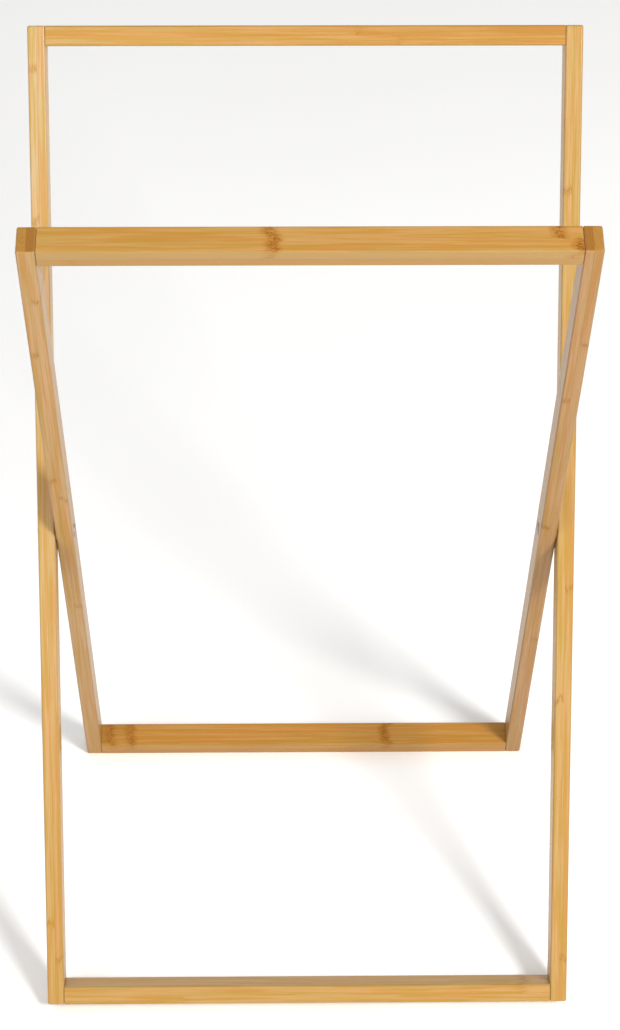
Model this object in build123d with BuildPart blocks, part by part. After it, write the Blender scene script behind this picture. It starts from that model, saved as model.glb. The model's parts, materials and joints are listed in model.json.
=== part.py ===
from build123d import *

import os
from math import acos, atan2, cos, degrees, hypot, radians, sin, sqrt

os.makedirs("parts", exist_ok=True)

# Folding towel rack in laminated bamboo, standing open.
# Two frames, each of two legs and two rails, cross at mid-height and turn about one
# horizontal axis. The tall outer frame leans back and the short inner frame leans forward.
# The inner frame fits between the legs and rails of the outer one, so the rack folds flat.
# +X is to the right, +Y is to the back, +Z is up. The origin is on the floor, straight
# below the middle of the pivot axis. Lengths are in millimetres and angles in degrees.

# Rack
rack_width = 500.0
outer_length = 925.0
inner_length = 850.0
open_angle = 46.8  # between the two frames when the rack stands open

# Bar stock
leg_width = 16.0  # across the rack
bar_depth = 27.0  # through the thickness of a frame
rail_height = 18.0  # along the legs
leg_gap = 1.0  # between an outer and an inner leg
edge_round = 1.8
end_round = 2.0
rail_end_chamfer = 0.3

# Corner joints, each with one screw and one glued dowel
joint_offset = 6.0  # from the bar's centre line to the screw, and to the dowel
screw_radius = 2.5
screw_length = 50.0
screw_tip = 1.5
screw_head_radius = 4.8
screw_head_sink = 0.3
screw_socket_radius = 2.0
screw_socket_depth = 2.4
dowel_radius = 3.0
dowel_in_leg = 8.0
dowel_in_rail = 16.0
dowel_chamfer = 0.6

# Pivots, each a bolt in a flanged sleeve nut, with a washer between the legs
sleeve_radius = 4.0
sleeve_in_outer_leg = 8.5
thread_depth = 20.0
bolt_radius = 3.0
bolt_length = 24.0
pivot_head_radius = 6.0
pivot_head_height = 2.0
pivot_head_round = 0.7
pivot_recess = 1.2
pivot_socket_radius = 2.3
pivot_socket_depth = 2.6
washer_radius = 9.0
washer_thickness = 0.8

# Opening stops, each a pin in the outer leg that runs in an arc groove in the inner leg
stop_radius = 16.0
stop_pin_radius = 2.0
stop_pin_length = 12.0
stop_pin_reach = 5.0  # out of the outer leg's inner face
stop_pin_chamfer = 0.4
groove_depth = 4.6

# Clearances
running = 0.05  # round each shaft, screw and dowel
press = 0.01  # round each pressed stop pin
head_play = 0.3  # round the pivot heads in their recesses
groove_play = 0.3  # round the stop pin in its groove
spare_depth = 0.5  # at the bottom of each blind hole
face_gap = 0.1  # between faces that slide on each other

# Faces of the legs, from the middle of the rack
outer_outside = rack_width / 2
outer_inside = outer_outside - leg_width
inner_outside = outer_inside - leg_gap
inner_inside = inner_outside - leg_width

# Stance. Each foot rests on one rounded edge: the outer frame on its back edge, the inner
# frame on its front edge. The arcs of those two edges and the pivot make a triangle.
half_depth = bar_depth / 2 - end_round
outer_reach = hypot(outer_length / 2 - end_round, half_depth)
inner_reach = hypot(inner_length / 2 - end_round, half_depth)
outer_tilt = atan2(half_depth, outer_length / 2 - end_round)
inner_tilt = atan2(half_depth, inner_length / 2 - end_round)
apex = radians(open_angle) - outer_tilt - inner_tilt
stance = sqrt(outer_reach**2 + inner_reach**2 - 2 * outer_reach * inner_reach * cos(apex))
drop = outer_reach * inner_reach * sin(apex) / stance
pivot_height = drop + end_round
outer_lean = acos(drop / outer_reach) + outer_tilt
inner_lean = acos(drop / inner_reach) + inner_tilt

sides = {"left": -1, "right": 1}
ends = {"bottom": -1, "top": 1}


class RackFrame:
    """One frame: x is across the rack, y is up the legs, and z is out of the front face."""

    def __init__(self, name, lean, length, outside):
        self.name = name
        self.length = length
        self.outside = outside
        self.inside = outside - leg_width
        self.plane = Plane(
            origin=(0, 0, pivot_height),
            x_dir=(1, 0, 0),
            z_dir=(0, -cos(lean), sin(lean)),
        )

    def crosswise(self, facing, x, y=0.0, z=0.0):
        """The plane at a point of the frame that faces right (1) or left (-1)."""
        origin = self.plane.from_local_coords(Vector(x, y, z))
        return Plane(origin=origin, x_dir=self.plane.y_dir, z_dir=(facing, 0, 0))

    def foot(self, side):
        """The plane of a leg's lower end, facing up the leg."""
        centre = side * (self.outside - leg_width / 2)
        origin = self.plane.from_local_coords(Vector(centre, -self.length / 2, 0))
        return Plane(origin=origin, x_dir=(1, 0, 0), z_dir=self.plane.y_dir)

    def rail_level(self, end):
        """How far a rail's centre line is from the pivot, up the legs."""
        return end * (self.length - rail_height) / 2


outer = RackFrame("outer", outer_lean, outer_length, outer_outside)
inner = RackFrame("inner", -inner_lean, inner_length, inner_outside)


def save(piece, name):
    """Labels a finished piece and writes it as a file of that name."""
    piece.label = name
    export_step(piece, f"parts/{name}.step")


def round_leg_ends(leg, frame):
    """Rounds the edges of a leg's two end faces."""
    end_faces = leg.faces().sort_by(Axis((0, 0, 0), frame.plane.y_dir))
    fillet(end_faces[0].edges() + end_faces[-1].edges(), end_round)


def drill_leg_corners(frame, side):
    """Cuts a leg's countersunk screw holes and blind dowel holes."""
    for end in ends.values():
        level = frame.rail_level(end)
        with Locations(frame.crosswise(side, side * frame.outside, level, -joint_offset)):
            CounterSinkHole(
                radius=screw_radius + running,
                counter_sink_radius=screw_head_radius + screw_head_sink + running,
                depth=leg_width,
                counter_sink_angle=90,
            )
        with Locations(frame.crosswise(-side, side * frame.inside, level, joint_offset)):
            Hole(radius=dowel_radius + running, depth=dowel_in_leg + spare_depth)


def make_outer_leg(side):
    """A leg with the bolt's recess outside, and the sleeve's bore and the stop pin's hole inside."""
    with BuildPart() as leg:
        with BuildSketch(outer.foot(side)):
            RectangleRounded(leg_width, bar_depth, edge_round)
        extrude(amount=outer.length)
        round_leg_ends(leg, outer)
        drill_leg_corners(outer, side)
        with Locations(outer.crosswise(side, side * outer_outside)):
            CounterBoreHole(
                radius=bolt_radius + running,
                counter_bore_radius=pivot_head_radius + head_play,
                counter_bore_depth=pivot_recess,
                depth=leg_width,
            )
        with Locations(outer.crosswise(-side, side * outer_inside)):
            Hole(radius=sleeve_radius + running, depth=sleeve_in_outer_leg + spare_depth)
        with Locations(stop_pin_foot(side)):
            Hole(radius=stop_pin_radius + press, depth=stop_pin_length - stop_pin_reach + spare_depth)
    return leg


def make_inner_leg(side):
    """A leg with the sleeve nut's recess inside, its bore through, and the stop's groove outside."""
    groove_line = CenterArc((0, 0), stop_radius, -open_angle / 2, open_angle)
    with BuildPart() as leg:
        with BuildSketch(inner.foot(side)):
            RectangleRounded(leg_width, bar_depth, edge_round)
        extrude(amount=inner.length)
        round_leg_ends(leg, inner)
        drill_leg_corners(inner, side)
        with Locations(inner.crosswise(-side, side * inner_inside)):
            CounterBoreHole(
                radius=sleeve_radius + running,
                counter_bore_radius=pivot_head_radius + head_play,
                counter_bore_depth=pivot_recess,
                depth=leg_width,
            )
        with BuildSketch(inner.crosswise(side, side * inner_outside)):
            SlotArc(groove_line, 2 * (stop_pin_radius + groove_play))
        extrude(amount=-groove_depth - groove_play, mode=Mode.SUBTRACT)
    return leg


def make_rail(frame, end):
    """A rail that fills the space between two legs, drilled at both ends."""
    level = frame.rail_level(end)
    with BuildPart() as rail:
        with BuildSketch(frame.crosswise(1, -frame.inside, level)):
            RectangleRounded(rail_height, bar_depth, edge_round)
        extrude(amount=2 * frame.inside)
        end_faces = rail.faces().sort_by(Axis.X)
        chamfer(end_faces[0].edges() + end_faces[-1].edges(), rail_end_chamfer)
        for side in sides.values():
            with Locations(frame.crosswise(side, side * frame.inside, level, -joint_offset)):
                Hole(radius=screw_radius + running, depth=screw_length - leg_width + spare_depth)
            with Locations(frame.crosswise(side, side * frame.inside, level, joint_offset)):
                Hole(radius=dowel_radius + running, depth=dowel_in_rail + spare_depth)
    return rail


def make_screw(frame, side, end):
    """A countersunk furniture screw with a hex socket, just below the leg's outer face."""
    head_x = side * (frame.outside - screw_head_sink)
    head = frame.crosswise(-side, head_x, frame.rail_level(end), -joint_offset)
    with BuildPart() as screw:
        with BuildSketch(head):
            Circle(screw_head_radius)
        extrude(amount=screw_head_radius - screw_radius, taper=45)
        with BuildSketch(head):
            Circle(screw_radius)
        extrude(amount=screw_length - screw_head_sink)
        tip = screw.faces().sort_by(Axis.X)[0 if side > 0 else -1]
        chamfer(tip.edges(), screw_tip)
        with BuildSketch(head):
            RegularPolygon(screw_socket_radius, 6)
        extrude(amount=screw_socket_depth, mode=Mode.SUBTRACT)
    return screw


def make_dowel(frame, side, end):
    """A wooden dowel across the joint between a leg and a rail."""
    start_x = side * (frame.inside + dowel_in_leg)
    with BuildPart() as dowel:
        with BuildSketch(frame.crosswise(-side, start_x, frame.rail_level(end), joint_offset)):
            Circle(dowel_radius)
        extrude(amount=dowel_in_leg + dowel_in_rail)
        chamfer(dowel.edges().filter_by(GeomType.CIRCLE), dowel_chamfer)
    return dowel


def make_pivot_bolt(side):
    """A low-headed bolt with a hex socket, in the outer leg's recess."""
    seat = outer.crosswise(-side, side * (outer_outside - pivot_recess))
    with BuildPart() as bolt:
        with BuildSketch(seat):
            Circle(pivot_head_radius)
        extrude(amount=-pivot_head_height)
        head_face = bolt.faces().sort_by(Axis.X)[-1 if side > 0 else 0]
        fillet(head_face.edges(), pivot_head_round)
        with BuildSketch(seat):
            Circle(bolt_radius)
        extrude(amount=bolt_length)
        with BuildSketch(seat.offset(-pivot_head_height)):
            RegularPolygon(pivot_socket_radius, 6)
        extrude(amount=pivot_socket_depth, mode=Mode.SUBTRACT)
    return bolt


def make_sleeve_nut(side):
    """The flanged sleeve that the inner leg turns on, screwed onto the bolt."""
    flange_back = inner_inside + pivot_recess - face_gap
    sleeve_end = outer_inside + sleeve_in_outer_leg
    seat = outer.crosswise(side, side * flange_back)
    with BuildPart() as nut:
        with BuildSketch(seat):
            Circle(pivot_head_radius)
        extrude(amount=-pivot_head_height)
        flange_face = nut.faces().sort_by(Axis.X)[0 if side > 0 else -1]
        fillet(flange_face.edges(), pivot_head_round)
        with BuildSketch(seat):
            Circle(sleeve_radius)
        extrude(amount=sleeve_end - flange_back)
        with BuildSketch(seat.offset(-pivot_head_height)):
            RegularPolygon(pivot_socket_radius, 6)
        extrude(amount=pivot_socket_depth, mode=Mode.SUBTRACT)
        with Locations(outer.crosswise(side, side * sleeve_end)):
            Hole(radius=bolt_radius + running, depth=thread_depth)
    return nut


def make_washer(side):
    """A washer on the sleeve, against the outer leg's inner face."""
    with BuildPart() as washer:
        with BuildSketch(outer.crosswise(-side, side * outer_inside)):
            Circle(washer_radius)
            Circle(sleeve_radius + running, mode=Mode.SUBTRACT)
        extrude(amount=washer_thickness)
    return washer


def stop_pin_foot(side):
    """The plane where a stop pin leaves the outer leg, halfway between the open and folded positions."""
    along = stop_radius * cos(radians(open_angle / 2))
    forward = stop_radius * sin(radians(open_angle / 2))
    return outer.crosswise(-side, side * outer_inside, along, forward)


def make_stop_pin(side):
    """A steel pin pressed into the outer leg, with its free end in the inner leg's groove."""
    with BuildPart() as pin:
        with BuildSketch(stop_pin_foot(side).offset(stop_pin_reach)):
            Circle(stop_pin_radius)
        extrude(amount=-stop_pin_length)
        chamfer(pin.edges().filter_by(GeomType.CIRCLE), stop_pin_chamfer)
    return pin


for frame in (outer, inner):
    for end_name, end in ends.items():
        save(make_rail(frame, end).part, f"{frame.name}_{end_name}_rail")
    corners = [(side, end) for side in sides.values() for end in ends.values()]
    screws = [make_screw(frame, side, end).part for side, end in corners]
    dowels = [make_dowel(frame, side, end).part for side, end in corners]
    save(Compound(children=screws), f"{frame.name}_corner_screws")
    save(Compound(children=dowels), f"{frame.name}_corner_dowels")

for side_name, side in sides.items():
    save(make_outer_leg(side).part, f"outer_{side_name}_leg")
    save(make_inner_leg(side).part, f"inner_{side_name}_leg")
    save(make_pivot_bolt(side).part, f"{side_name}_pivot_bolt")
    save(make_sleeve_nut(side).part, f"{side_name}_sleeve_nut")
    save(make_washer(side).part, f"{side_name}_pivot_washer")
    save(make_stop_pin(side).part, f"{side_name}_stop_pin")

print(f"pivot height {pivot_height:.3f}")
print(f"leans {degrees(outer_lean):.3f} and {degrees(inner_lean):.3f}")
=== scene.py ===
"""Looks of the folding bamboo towel rack: bamboo, metal, nylon and beech, with studio and camera."""

import json
from math import atan2, cos, pi, radians, sin, tau

import bpy
from mathutils import Matrix, Vector


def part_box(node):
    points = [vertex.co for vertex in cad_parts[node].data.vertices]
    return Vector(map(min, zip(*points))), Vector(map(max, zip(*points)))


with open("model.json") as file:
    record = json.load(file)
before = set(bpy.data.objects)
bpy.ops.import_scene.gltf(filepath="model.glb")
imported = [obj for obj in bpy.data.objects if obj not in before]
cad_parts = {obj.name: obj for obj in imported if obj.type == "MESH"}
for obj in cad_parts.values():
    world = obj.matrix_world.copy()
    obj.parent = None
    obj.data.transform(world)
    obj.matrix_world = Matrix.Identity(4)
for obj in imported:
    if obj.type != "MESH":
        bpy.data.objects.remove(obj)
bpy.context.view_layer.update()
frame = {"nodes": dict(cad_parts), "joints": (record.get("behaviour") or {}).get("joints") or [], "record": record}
nodes = frame["nodes"]
record = frame["record"]
mounts = {mount["name"]: mount for mount in record["mounts"]}
pivot = Vector(frame["joints"][0]["pos_m"])

MM = 0.001
MM_PER_METRE = 1 / MM

# The bars' section, in millimetres
LEG_WIDTH = 16.0
RAIL_HEIGHT = 18.0
BAR_DEPTH = 27.0
EDGE_ROUND = 1.8

# How far a knuckle's stain reaches along the grain, in millimetres
LEG_KNUCKLE = 6.0
RAIL_KNUCKLE = 9.0

# What the bamboo's details, and the painted shade on its edges and seams, do to their bar's own tone: a factor for
# each linear channel
PALE_BAND = (1.12, 1.26, 1.95)
DEEP_BAND = (0.94, 0.79, 0.30)
ROSY_HUE = (1.12, 0.96, 1.18)
OLIVE_HUE = (0.87, 1.0, 0.68)
STREAK = (0.92, 0.84, 0.65)
GREY_SIDE = (0.76, 0.89, 1.42)
FIBRE = (0.70, 0.58, 0.42)
DASH = (0.55, 0.40, 0.26)
KNUCKLE_STAIN = (0.74, 0.52, 0.08)
KNUCKLE_CORE = (0.50, 0.28, 0.02)
GLUE_LINE = (0.55, 0.42, 0.30)
# Painted shade, together with wear, on the rounded long edges of legs and of rails
LEG_EDGE_WEAR_AND_SHADE = (0.76, 0.76, 0.95)
RAIL_EDGE_WEAR_AND_SHADE = (0.65, 0.84, 1.05)
# Painted shade in the groove where a rail's end meets a leg
SEAM_SHADE = (0.40, 0.28, 0.18)

# Colours that multiply the wood below them
DEEPER_LAYER = (0.95, 0.86, 0.68, 1.0)
DEEP_END = (0.94, 0.88, 0.75, 1.0)
PALE_END = (1.05, 1.14, 1.50, 1.0)

# Factors on the colour of the cut ends
PALE_END_LAYER = (1.14, 1.22, 1.3)
DEEP_END_LAYER = (0.86, 0.76, 0.52)
FIBRE_BUNDLE = (0.55, 0.4, 0.25)

# Camera: metres, degrees and, for the lens, millimetres
CAMERA_PLACE = (-0.0251, -1.7685, 1.8838)
CAMERA_PITCH = 39.495
CAMERA_YAW = -0.919
CAMERA_ROLL = 0.368
CAMERA_LENS = 85.96
CAMERA_SENSOR = 36.0

# Studio: metres and watts, and levels that are factors on a white surround
FLOOR_RADIUS = 9.0
FLOOR_SIDES = 128
SURROUND_LEVEL = 1.15
OVERHEAD_LEVEL = 0.5
SIDE_LEVEL = 0.4
KEY_PLACE = (1.9, -2.4, 2.7)
KEY_SIZE = 1.0
KEY_POWER = 130.0
KEY_COLOUR = (1.0, 0.985, 0.96)
FILL_PLACE = (-2.2, -1.6, 1.6)
FILL_SIZE = 1.6
FILL_POWER = 24.0
FILL_COLOUR = (0.97, 0.985, 1.0)


def srgb(red, green, blue):
    """A colour given in 0 to 255 display values, as linear RGBA."""
    def linear(value):
        value /= 255
        return value / 12.92 if value <= 0.04045 else ((value + 0.055) / 1.055) ** 2.4
    return (linear(red), linear(green), linear(blue), 1.0)


def tinted(colour, factors):
    """A linear colour with each channel times its own factor."""
    return (*(channel * factor for channel, factor in zip(colour, factors)), 1.0)


END_GRAIN = srgb(155, 109, 46)


class Graph:
    """The node tree of a new material or world, with short calls for the nodes that are used here."""

    def __init__(self, owner):
        self.owner = owner
        self.owner.use_nodes = True
        self.tree = self.owner.node_tree

    def plug(self, socket, value):
        """Links a socket, or sets it when the value is a number, a vector or a colour."""
        if isinstance(value, bpy.types.NodeSocket):
            self.tree.links.new(value, socket)
        elif value is not None:
            socket.default_value = value

    def add(self, kind, settings=None, **inputs):
        """A new node with these settings, and inputs by name, with _ for each space."""
        node = self.tree.nodes.new(kind)
        for key, value in (settings or {}).items():
            setattr(node, key, value)
        for key, value in inputs.items():
            self.plug(node.inputs[key.replace("_", " ")], value)
        return node

    def math(self, operation, first, second=None, third=None, clamp=False):
        node = self.add("ShaderNodeMath", {"operation": operation, "use_clamp": clamp})
        for socket, value in zip(node.inputs, (first, second, third)):
            self.plug(socket, value)
        return node.outputs[0]

    def ramp(self, value, low, high, start=0.0, end=1.0):
        """Maps a value smoothly from the range low..high to start..end."""
        node = self.add("ShaderNodeMapRange", {"interpolation_type": "SMOOTHSTEP"}, Value=value)
        for name, number in (("From Min", low), ("From Max", high), ("To Min", start), ("To Max", end)):
            node.inputs[name].default_value = number
        return node.outputs["Result"]

    def mix(self, amount, first, second, blend="MIX"):
        """One colour over another by an amount, or multiplied by it with the blend MULTIPLY."""
        node = self.add("ShaderNodeMix", {"data_type": "RGBA", "blend_type": blend}, Factor=amount)
        self.plug(node.inputs[6], first)
        self.plug(node.inputs[7], second)
        return node.outputs[2]

    def vector(self, x, y, z):
        return self.add("ShaderNodeCombineXYZ", X=x, Y=y, Z=z).outputs[0]

    def noise(self, vector, seed, scale=1.0, detail=3.0, roughness=0.55):
        settings = {"noise_dimensions": "4D"}
        inputs = {"Vector": vector, "W": seed, "Scale": scale, "Detail": detail, "Roughness": roughness}
        return self.add("ShaderNodeTexNoise", settings, **inputs).outputs["Fac"]

    def scaled(self, axes, x, y, z):
        """A vector of three coordinates, each times its own factor."""
        return self.vector(*(self.math("MULTIPLY", axis, k) for axis, k in zip(axes, (x, y, z))))

    def place(self):
        """A point's place in its object, which is its place in the rack at rest, in metres."""
        return self.add("ShaderNodeTexCoord").outputs["Object"]

    def finish(self, **inputs):
        """Sets the material's shader, and gives the material."""
        shader = self.tree.nodes["Principled BSDF"]
        for key, value in inputs.items():
            self.plug(shader.inputs[key.replace("_", " ")], value)
        return self.owner


def material_graph(name):
    return Graph(bpy.data.materials.new(name))


def frame_rotation(mount_name):
    """Turns rack coordinates into a frame's own: across the rack, up the legs, out of the front."""
    up = Vector(mounts[mount_name]["axis"])
    return Matrix.Rotation(-atan2(up.z, up.y), 3, "X")


class Bar:
    """A leg or rail: which way its grain runs, where its middle is, and what marks it has.

    tone is its mean colour. layer_step is how much deeper its second glued layer is or, below 0,
    its first. side_step is how much greyer its front and back are. pale_end is 1 where its upper
    or right end is the paler one, -1 where its lower or left end is, and 0 where they match. Each
    knuckle is its place along the bar in millimetres from the middle, the layer it is in (0 or 1),
    the half of the depth it keeps to (1 for the front, -1 for the back, 0 for both) and its strength.
    """

    def __init__(self, node, seed, tone, knuckles, layer_step=0.2, side_step=0.0, pale_end=0):
        self.node = node
        self.is_leg = node.endswith("leg")
        self.turn = frame_rotation(node.split("_")[0] + "_rail_top")
        self.seed = seed
        self.tone = tone
        self.knuckles = knuckles
        self.layer_step = layer_step
        self.side_step = side_step
        self.pale_end = pale_end
        low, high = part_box(node)
        self.middle = self.turn @ ((low + high) / 2 - pivot) * MM_PER_METRE
        self.half_width = (LEG_WIDTH if self.is_leg else RAIL_HEIGHT) / 2
        span = high - low
        self.half_length = (span.yz.length if self.is_leg else span.x) / 2 * MM_PER_METRE

    def tint(self, factors):
        """The bar's own tone with each linear channel times its own factor."""
        return tinted(self.tone, factors)


def bar_axes(graph, bar):
    """Along the grain, across the glued layers and across their broad faces, in mm from the middle."""
    mapping = graph.add("ShaderNodeMapping", {"vector_type": "POINT"}, Vector=graph.place())
    mapping.inputs["Scale"].default_value = (MM_PER_METRE,) * 3
    mapping.inputs["Rotation"].default_value = bar.turn.to_euler()
    mapping.inputs["Location"].default_value = -(bar.turn @ pivot) * MM_PER_METRE - bar.middle
    across, up, out = graph.add("ShaderNodeSeparateXYZ", Vector=mapping.outputs[0]).outputs
    return (up, across, out) if bar.is_leg else (across, up, out)


def facing(graph, bar, x, y, z):
    """1 on faces that look along one of the frame's own directions, either way, and 0 elsewhere."""
    normal = graph.add("ShaderNodeTexCoord").outputs["Normal"]
    dot = graph.add("ShaderNodeVectorMath", {"operation": "DOT_PRODUCT"})
    graph.plug(dot.inputs[0], normal)
    dot.inputs[1].default_value = bar.turn.transposed() @ Vector((x, y, z))
    return graph.ramp(graph.math("ABSOLUTE", dot.outputs["Value"]), 0.72, 0.95)


def wandering(graph, axes, strip):
    """How far each fibre carries the knuckles' marks along the bar, in millimetres."""
    ripple = graph.noise(graph.scaled(axes, 0.01, 0.10, 0.10), strip, detail=1.0)
    jag = graph.noise(graph.scaled(axes, 0.05, 1.0, 1.0), strip, roughness=0.7)
    slow = graph.ramp(ripple, 0.2, 0.8, -5.0, 5.0)
    quick = graph.ramp(jag, 0.2, 0.8, -2.5, 2.5)
    return graph.math("ADD", slow, quick)


def knuckle_marks(graph, bar, along, layer, broad):
    """Where the bamboo's knuckles stain a bar, how dark their middles are, and how many of them
    lie before each point."""
    stain, core, passed = 0.0, 0.0, 0.0
    reach = LEG_KNUCKLE if bar.is_leg else RAIL_KNUCKLE
    for place, which, half, strength in bar.knuckles:
        offset = graph.math("SUBTRACT", along, place)
        inside = graph.math("COMPARE", layer, float(which), 0.1)
        if half:
            inside = graph.math("MULTIPLY", inside, graph.ramp(broad, -1.5 * half, 1.5 * half))
        distance = graph.math("ABSOLUTE", offset)
        wide = graph.ramp(distance, reach * 0.25, reach, strength, 0.0)
        near = graph.ramp(distance, reach * 0.12, reach * 0.5, strength, 0.0)
        stain = graph.math("MAXIMUM", stain, graph.math("MULTIPLY", wide, inside))
        core = graph.math("MAXIMUM", core, graph.math("MULTIPLY", near, inside))
        beyond = graph.math("MULTIPLY", graph.math("GREATER_THAN", offset, 0.0), inside)
        passed = graph.math("ADD", passed, beyond)
    return stain, core, passed


def mottled_knuckles(graph, bar, axes, layer, strip, broad_face):
    """The knuckles' marks, wandering and mottled, and fainter on a rail's front and back."""
    along, layers, broad = axes
    wavy = graph.math("ADD", along, wandering(graph, axes, strip))
    stain, core, passed = knuckle_marks(graph, bar, wavy, layer, broad)
    if not bar.is_leg:
        fainter = graph.math("MULTIPLY_ADD", broad_face, -0.6, 1.0)
        stain = graph.math("MULTIPLY", stain, fainter)
        core = graph.math("MULTIPLY", core, fainter)
    mottle = graph.noise(graph.scaled(axes, 0.35, 0.9, 0.9), strip, roughness=0.6)
    stain = graph.math("MULTIPLY", stain, graph.ramp(mottle, 0.35, 0.6, 0.45, 1.0))
    core = graph.math("MULTIPLY", core, graph.ramp(mottle, 0.44, 0.6, 0.0, 1.0))
    return stain, core, passed


class Fibres:
    """The noises along a bar's grain, from broad bands to short dark dashes."""

    def __init__(self, graph, axes, seed):
        self.bands = graph.noise(graph.scaled(axes, 0.010, 0.36, 0.36), seed)
        self.hues = graph.noise(graph.scaled(axes, 0.012, 0.50, 0.50), graph.math("ADD", seed, 40.0))
        self.streaks = graph.noise(graph.scaled(axes, 0.024, 1.1, 1.1), seed, detail=4.0, roughness=0.65)
        self.fine = graph.noise(graph.scaled(axes, 0.05, 3.6, 3.6), seed, roughness=0.7)
        self.dashes = graph.noise(graph.scaled(axes, 0.16, 2.4, 2.4), seed, detail=2.0)


def drifted(graph, bar, along, colour):
    """The colour, slowly paler and less yellow towards the bar's pale end, as a culm's wood is."""
    reach = 0.9 * bar.half_length
    towards = graph.ramp(graph.math("MULTIPLY", along, float(bar.pale_end)), -reach, reach)
    return graph.mix(1.0, colour, graph.mix(towards, DEEP_END, PALE_END), blend="MULTIPLY")


def wood_colour(graph, bar, along, layer, broad_face, fibres):
    """The wood between the knuckles: bands and hues, streaks, its two layers, fibres and dashes."""
    bands = graph.mix(graph.ramp(fibres.bands, 0.42, 0.58), bar.tint(PALE_BAND), bar.tint(DEEP_BAND))
    hues = graph.mix(graph.ramp(fibres.hues, 0.43, 0.57), bar.tint(ROSY_HUE), bar.tint(OLIVE_HUE))
    colour = graph.mix(0.5, bands, hues)
    colour = graph.mix(graph.ramp(fibres.streaks, 0.40, 0.64, 0.0, 0.5), colour, bar.tint(STREAK))
    colour = graph.mix(graph.math("MULTIPLY", broad_face, bar.side_step), colour, bar.tint(GREY_SIDE))
    deeper = layer if bar.layer_step > 0 else graph.math("SUBTRACT", 1.0, layer)
    deeper = graph.math("MULTIPLY", deeper, abs(bar.layer_step))
    colour = graph.mix(deeper, colour, DEEPER_LAYER, blend="MULTIPLY")
    if bar.pale_end:
        colour = drifted(graph, bar, along, colour)
    colour = graph.mix(graph.ramp(fibres.fine, 0.55, 0.8, 0.0, 0.3), colour, bar.tint(FIBRE))
    return graph.mix(graph.ramp(fibres.dashes, 0.69, 0.8, 0.0, 0.4), colour, bar.tint(DASH))


def end_grain(graph, bar, axes, layer, bands):
    """Colour of the cut ends, whose outer layer is the deeper one, and the fibre bundles in them."""
    bundles = graph.add("ShaderNodeTexVoronoi", {"feature": "F1"}, Scale=1.0)
    graph.plug(bundles.inputs["Vector"], graph.scaled(axes, 0.02, 1.15, 1.15))
    bundle = graph.ramp(bundles.outputs["Distance"], 0.12, 0.45, 1.0, 0.0)
    pale = tinted(END_GRAIN, PALE_END_LAYER)
    deep = tinted(END_GRAIN, DEEP_END_LAYER)
    outer = graph.math("COMPARE", layer, 1.0 if bar.middle.x < 0 else 0.0, 0.1)
    colour = graph.mix(graph.math("MULTIPLY", outer, 0.9), pale, deep)
    colour = graph.mix(graph.ramp(bands, 0.35, 0.7, 0.0, 0.4), colour, deep)
    colour = graph.mix(graph.math("MULTIPLY", bundle, 0.45), colour, tinted(END_GRAIN, FIBRE_BUNDLE))
    return colour, bundle


def rounded_edges(graph, bar, layers, broad):
    """1 on the rounded long edges, fading to 0 where the flat faces start."""
    over = graph.math("SUBTRACT", graph.math("ABSOLUTE", layers), bar.half_width - EDGE_ROUND)
    beyond = graph.math("SUBTRACT", graph.math("ABSOLUTE", broad), BAR_DEPTH / 2 - EDGE_ROUND)
    return graph.ramp(graph.math("MINIMUM", over, beyond), 0.0, EDGE_ROUND * 0.5)


def weighted_sum(graph, terms):
    """The sum of fields, each times its own weight."""
    total = 0.0
    for field, weight in terms:
        total = graph.math("MULTIPLY_ADD", field, weight, total)
    return total


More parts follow.
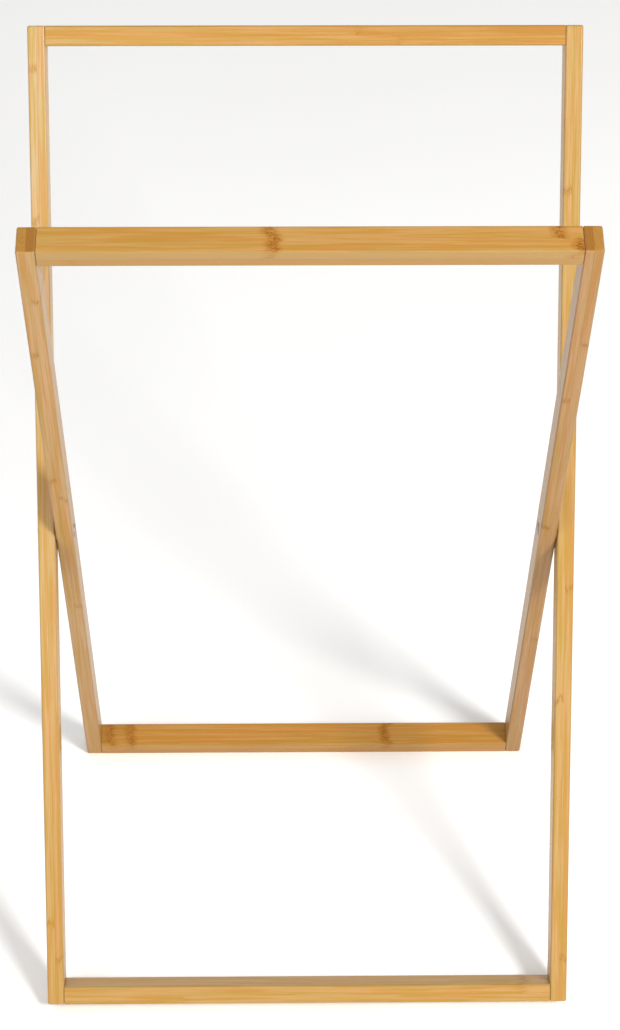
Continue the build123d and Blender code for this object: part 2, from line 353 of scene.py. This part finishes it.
def bamboo(bar):
    """Laminated bamboo in two layers: fibres, knuckles, glue line, end grain and a satin lacquer, with painted
    shade on its rounded edges and at the rails' ends.
    """
    graph = material_graph("bamboo_" + bar.node)
    axes = bar_axes(graph, bar)
    along, layers, broad = axes
    layer = graph.math("GREATER_THAN", layers, 0.0)
    strip = graph.math("MULTIPLY_ADD", layer, 7.3, bar.seed)
    broad_face = facing(graph, bar, 0, 0, 1)
    stain, core, passed = mottled_knuckles(graph, bar, axes, layer, strip, broad_face)
    fibres = Fibres(graph, axes, graph.math("MULTIPLY_ADD", passed, 3.1, strip))

    colour = wood_colour(graph, bar, along, layer, broad_face, fibres)
    colour = graph.mix(graph.math("MULTIPLY", stain, 0.9), colour, bar.tint(KNUCKLE_STAIN))
    colour = graph.mix(graph.math("MULTIPLY", core, 0.9), colour, bar.tint(KNUCKLE_CORE))
    glue = graph.ramp(graph.math("ABSOLUTE", layers), 0.06, 0.3, 1.0, 0.0)
    colour = graph.mix(graph.math("MULTIPLY", glue, 0.3), colour, bar.tint(GLUE_LINE))
    ends = facing(graph, bar, 0, 1, 0) if bar.is_leg else facing(graph, bar, 1, 0, 0)
    end_colour, bundle = end_grain(graph, bar, axes, layer, fibres.bands)
    colour = graph.mix(ends, colour, end_colour)
    # Painted shade on the rounded long edges, where they turn away from the light, mixed with edge wear; the same
    # mask also roughens the edges
    edge = rounded_edges(graph, bar, layers, broad)
    edge_wear_and_shade = graph.math("MULTIPLY", edge, graph.ramp(fibres.streaks, 0.25, 0.7, 0.2, 0.6))
    colour = graph.mix(edge_wear_and_shade, colour, bar.tint(LEG_EDGE_WEAR_AND_SHADE if bar.is_leg else RAIL_EDGE_WEAR_AND_SHADE))
    # Painted shade: a thin darker line at each end of a rail, in the groove where it meets a leg
    if not bar.is_leg:
        from_middle = graph.math("ABSOLUTE", along)
        seam_shade = graph.ramp(from_middle, bar.half_length - 0.7, bar.half_length - 0.2, 0.0, 0.1)
        colour = graph.mix(seam_shade, colour, bar.tint(SEAM_SHADE))

    height = weighted_sum(graph, [
        (fibres.streaks, 0.5),
        (fibres.fine, 0.35),
        (stain, 0.4),
        (core, -0.5),
        (glue, -0.5),
        (graph.math("MULTIPLY", ends, bundle), -0.9),
    ])
    bump = graph.add("ShaderNodeBump", Strength=0.35, Distance=0.12 * MM, Height=height)
    rough = graph.ramp(fibres.streaks, 0.2, 0.8, 0.40, 0.54)
    rough = graph.math("MULTIPLY_ADD", ends, 0.16, rough)
    rough = graph.math("MULTIPLY_ADD", edge_wear_and_shade, 0.10, rough, clamp=True)
    return graph.finish(
        Base_Color=colour,
        Roughness=rough,
        Normal=bump.outputs[0],
        Specular_IOR_Level=0.1,
        Coat_Weight=0.4,
        Coat_Roughness=0.22,
    )


def metal(name, light, dark, roughness, seed):
    """Plated steel: a fine brushed grain, cloudy plating and small scuffs."""
    graph = material_graph(name)
    place = graph.place()
    cloud = graph.noise(place, seed, scale=260.0)
    grain = graph.noise(place, seed + 3.0, scale=2400.0, detail=2.0)
    scuff = graph.noise(place, seed + 5.0, scale=900.0, detail=5.0, roughness=0.75)
    colour = graph.mix(graph.ramp(cloud, 0.35, 0.7), light, dark)
    colour = graph.mix(graph.ramp(scuff, 0.6, 0.75, 0.0, 0.5), colour, srgb(205, 200, 192))
    bump = graph.add("ShaderNodeBump", Strength=0.2, Distance=0.03 * MM, Height=grain)
    rough = graph.ramp(scuff, 0.3, 0.75, roughness, roughness + 0.2)
    return graph.finish(Base_Color=colour, Roughness=rough, Metallic=1.0, Normal=bump.outputs[0])


def nylon(name, seed):
    """Natural nylon: off-white, slightly cloudy, with a fine moulded texture."""
    graph = material_graph(name)
    place = graph.place()
    cloud = graph.noise(place, seed, scale=180.0, detail=2.0)
    grain = graph.noise(place, seed + 2.0, scale=1800.0, detail=2.0)
    colour = graph.mix(graph.ramp(cloud, 0.35, 0.7), srgb(226, 222, 208), srgb(206, 198, 178))
    bump = graph.add("ShaderNodeBump", Strength=0.15, Distance=0.04 * MM, Height=grain)
    rough = graph.ramp(grain, 0.3, 0.7, 0.45, 0.6)
    return graph.finish(Base_Color=colour, Roughness=rough, Normal=bump.outputs[0])


def beech(name, seed):
    """Bare beech dowels, with the grain across the rack and short dark rays."""
    graph = material_graph(name)
    axes = graph.add("ShaderNodeSeparateXYZ", Vector=graph.place()).outputs
    grain = graph.noise(graph.scaled(axes, 60.0, 1500.0, 1500.0), seed)
    rays = graph.noise(graph.scaled(axes, 400.0, 2600.0, 2600.0), seed + 4.0, detail=1.0)
    colour = graph.mix(graph.ramp(grain, 0.3, 0.7), srgb(222, 188, 142), srgb(196, 152, 104))
    colour = graph.mix(graph.ramp(rays, 0.62, 0.75, 0.0, 0.6), colour, srgb(150, 104, 66))
    bump = graph.add("ShaderNodeBump", Strength=0.3, Distance=0.08 * MM, Height=grain)
    rough = graph.ramp(grain, 0.3, 0.7, 0.6, 0.75)
    return graph.finish(Base_Color=colour, Roughness=rough, Normal=bump.outputs[0])


def dress(node, material):
    """Gives a CAD node one material in all its slots."""
    mesh = nodes[node].data
    mesh.materials.clear()
    mesh.materials.append(material)


bars = [
    Bar("outer_left_leg", 1.0, srgb(180, 144, 84), layer_step=0.4, pale_end=1, knuckles=[
        (420, 0, 0, 0.5), (290, 0, 0, 0.4), (-379, 0, 0, 0.5), (-415, 1, 0, 0.4), (110, 1, 0, 0.3)]),
    Bar("outer_right_leg", 2.0, srgb(173, 136, 74), knuckles=[
        (314, 0, 0, 0.5), (-52, 1, 0, 0.4), (-163, 0, 0, 0.5), (-417, 1, 0, 0.5)]),
    Bar("outer_top_rail", 3.0, srgb(175, 132, 64), layer_step=0.5, pale_end=-1, knuckles=[
        (46, 1, 0, 0.4), (85, 0, 0, 0.4)]),
    Bar("outer_bottom_rail", 4.0, srgb(172, 133, 68), knuckles=[
        (208, 1, 0, 0.5), (-120, 0, 0, 0.2)]),
    Bar("inner_left_leg", 5.0, srgb(164, 128, 77), layer_step=-0.2, knuckles=[
        (364, 1, 0, 0.4), (290, 0, 0, 0.45), (100, 0, 0, 0.45), (71, 1, 0, 0.4), (-115, 1, 0, 0.4)]),
    Bar("inner_right_leg", 6.0, srgb(155, 118, 69), knuckles=[
        (301, 1, 0, 0.4), (223, 0, 0, 0.4), (21, 0, 0, 0.6), (-187, 1, 0, 0.4)]),
    Bar("inner_top_rail", 7.0, srgb(176, 132, 65), layer_step=-0.7, side_step=0.8, knuckles=[
        (-30, 1, 0, 1.0), (198, 1, -1, 1.0), (212, 1, 1, 1.0), (-190, 0, 0, 0.3)]),
    Bar("inner_bottom_rail", 8.0, srgb(174, 126, 57), layer_step=-0.3, side_step=0.4, knuckles=[
        (-208, 1, 0, 0.6), (-186, 1, 0, 0.8), (89, 1, 0, 0.95), (-60, 0, 0, 0.3)]),
]
for bar in bars:
    dress(bar.node, bamboo(bar))

slot_materials = {
    "pivot_steel": metal("satin_nickel", srgb(186, 174, 168), srgb(158, 148, 142), 0.45, 11.0),
    "screw_steel": metal("zinc_plate", srgb(176, 172, 162), srgb(146, 140, 128), 0.34, 12.0),
    "washer_nylon": nylon("natural_nylon", 13.0),
    "dowel_wood": beech("beech_dowel", 14.0),
}
for subpart in record["subparts"]:
    if subpart["material_slot"] in slot_materials:
        dress(subpart["node"], slot_materials[subpart["material_slot"]])


def make_floor():
    """A plain pale round floor, which fills the camera's view and has a level rim from any side."""
    turns = [tau * side / FLOOR_SIDES for side in range(FLOOR_SIDES)]
    rim = [(FLOOR_RADIUS * cos(turn), FLOOR_RADIUS * sin(turn), 0) for turn in turns]
    mesh = bpy.data.meshes.new("floor")
    mesh.from_pydata(rim, [], [range(FLOOR_SIDES)])
    floor = bpy.data.objects.new("floor", mesh)
    bpy.context.scene.collection.objects.link(floor)
    graph = material_graph("studio_paper")
    cloud = graph.noise(graph.place(), 1.0, scale=1.3, detail=2.0)
    colour = graph.mix(graph.ramp(cloud, 0.3, 0.7), srgb(254, 254, 253), srgb(251, 251, 250))
    mesh.materials.append(graph.finish(Base_Color=colour, Roughness=0.9, Specular_IOR_Level=0.1))


def make_area_light(name, place, size, power, colour):
    """A round soft light that is aimed at the middle of the rack."""
    light = bpy.data.lights.new(name, "AREA")
    light.shape = "DISK"
    light.size = size
    light.energy = power
    light.color = colour
    lamp = bpy.data.objects.new(name, light)
    lamp.location = place
    lamp.rotation_euler = (pivot - Vector(place)).to_track_quat("-Z", "Y").to_euler()
    bpy.context.scene.collection.objects.link(lamp)


def make_studio():
    """A bright surround that is dimmer overhead and at the sides, a soft key light and a fill."""
    graph = Graph(bpy.data.worlds.new("studio"))
    direction = graph.add("ShaderNodeTexCoord").outputs["Generated"]
    sideways, forwards, upwards = graph.add("ShaderNodeSeparateXYZ", Vector=direction).outputs
    overhead = graph.ramp(upwards, 0.2, 1.0, 1.0, OVERHEAD_LEVEL)
    sides = graph.ramp(graph.math("ABSOLUTE", sideways), 0.2, 1.0, 1.0, SIDE_LEVEL)
    level = graph.math("MULTIPLY", graph.math("MULTIPLY", overhead, sides), SURROUND_LEVEL)
    background = graph.tree.nodes["Background"]
    background.inputs["Color"].default_value = (1.0, 1.0, 1.0, 1.0)
    graph.plug(background.inputs["Strength"], level)
    bpy.context.scene.world = graph.owner
    make_area_light("key", KEY_PLACE, KEY_SIZE, KEY_POWER, KEY_COLOUR)
    make_area_light("fill", FILL_PLACE, FILL_SIZE, FILL_POWER, FILL_COLOUR)


def make_camera():
    """The camera, turned by its yaw, then down by its pitch, then about its own line of sight."""
    camera = bpy.data.cameras.new("camera")
    camera.lens = CAMERA_LENS
    camera.sensor_fit = "AUTO"
    camera.sensor_width = CAMERA_SENSOR
    holder = bpy.data.objects.new("camera", camera)
    holder.location = CAMERA_PLACE
    aim = Matrix.Rotation(radians(CAMERA_YAW), 3, "Z")
    aim = aim @ Matrix.Rotation(pi / 2 - radians(CAMERA_PITCH), 3, "X")
    aim = aim @ Matrix.Rotation(radians(CAMERA_ROLL), 3, "Z")
    holder.rotation_euler = aim.to_euler()
    bpy.context.scene.collection.objects.link(holder)
    bpy.context.scene.camera = holder


make_floor()
make_studio()
make_camera()
bpy.context.scene.view_settings.view_transform = "Standard"
